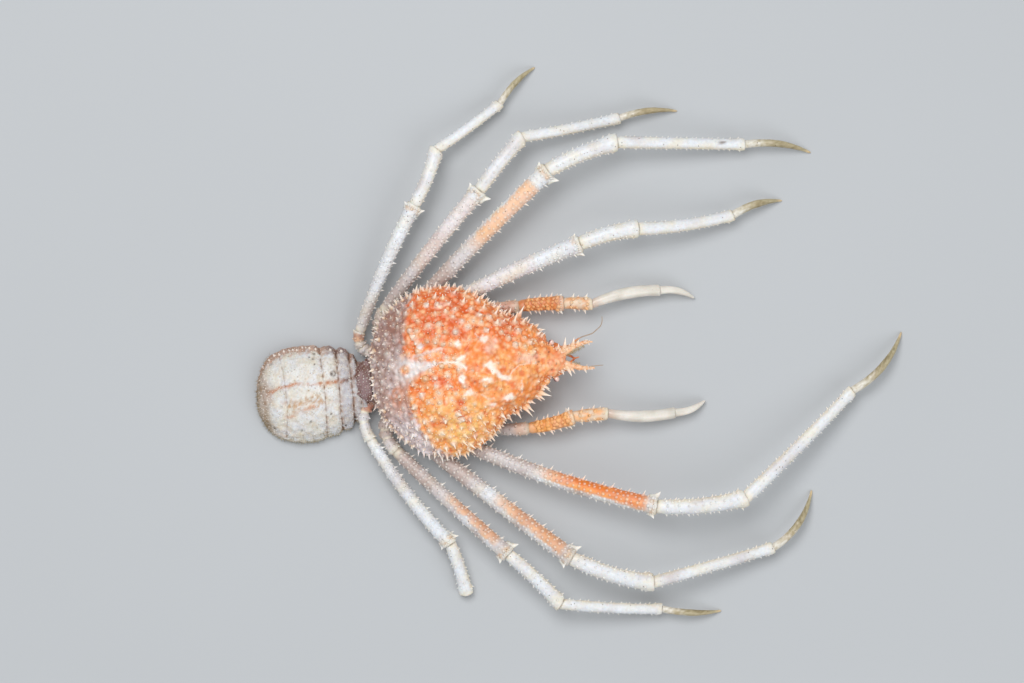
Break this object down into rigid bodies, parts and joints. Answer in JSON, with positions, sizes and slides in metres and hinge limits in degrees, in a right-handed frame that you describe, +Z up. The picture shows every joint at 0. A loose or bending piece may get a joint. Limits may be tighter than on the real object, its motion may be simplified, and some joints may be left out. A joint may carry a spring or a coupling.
{
  "type": "spider crab model",
  "caption": "Still life-size spiny spider crab lying on its belly, pear-shaped orange shell, long pale spiny legs swept forward and its tail plate folded out behind.",
  "frame": {"origin": "on the floor, under the middle of the whole crab's bounding box", "axes": "+X along the rostrum, towards the front; +Y to the animal's left; +Z up from the floor"},
  "size_m": [0.228, 0.1974, 0.0311],
  "materials": {
    "shell_orange": "satin",
    "eye_dark": "gloss",
    "feeler": "satin",
    "underside_pale": "satin",
    "tail_plate": "satin",
    "limb_white": "satin",
    "limb_orange": "satin",
    "claw_white": "satin",
    "toe_olive": "satin"
  },
  "bodies": {
    "root": {"carapace": "shell_orange", "rostrum": "shell_orange", "eye_left": "eye_dark", "eye_right": "eye_dark", "antenna_left": "feeler", "antenna_right": "feeler", "sternum": "underside_pale", "mouthparts": "underside_pale", "pleon_root": "tail_plate", "pleon_front": "tail_plate", "pleon_rear": "tail_plate", "telson": "tail_plate", "claw_left_base": "limb_white", "claw_left_merus": "limb_orange", "claw_left_carpus": "limb_white", "claw_left_palm": "claw_white", "claw_left_finger": "claw_white", "leg_left_2_base": "limb_white", "leg_left_2_merus": "limb_white", "leg_left_2_carpus": "limb_white", "leg_left_2_propodus": "limb_white", "leg_left_2_dactylus": "toe_olive", "leg_left_3_base": "limb_white", "leg_left_3_merus": "limb_white", "leg_left_3_carpus": "limb_white", "leg_left_3_propodus": "limb_white", "leg_left_3_dactylus": "toe_olive", "leg_left_4_base": "limb_white", "leg_left_4_merus": "limb_white", "leg_left_4_carpus": "limb_white", "leg_left_4_propodus": "limb_white", "leg_left_4_dactylus": "toe_olive", "leg_left_5_base": "limb_white", "leg_left_5_merus": "limb_white", "leg_left_5_carpus": "limb_white", "leg_left_5_propodus": "limb_white", "leg_left_5_dactylus": "toe_olive", "claw_right_base": "limb_white", "claw_right_merus": "limb_orange", "claw_right_carpus": "limb_white", "claw_right_palm": "claw_white", "claw_right_finger": "claw_white", "leg_right_2_base": "limb_white", "leg_right_2_merus": "limb_orange", "leg_right_2_carpus": "limb_white", "leg_right_2_propodus": "limb_white", "leg_right_2_dactylus": "toe_olive", "leg_right_3_base": "limb_white", "leg_right_3_merus": "limb_orange", "leg_right_3_carpus": "limb_white", "leg_right_3_propodus": "limb_white", "leg_right_3_dactylus": "toe_olive", "leg_right_4_base": "limb_white", "leg_right_4_merus": "limb_white", "leg_right_4_carpus": "limb_white", "leg_right_4_propodus": "limb_white", "leg_right_4_dactylus": "toe_olive", "leg_right_5_base": "limb_white", "leg_right_5_merus": "limb_white", "leg_right_5_carpus": "limb_white"}
  },
  "joints": []
}
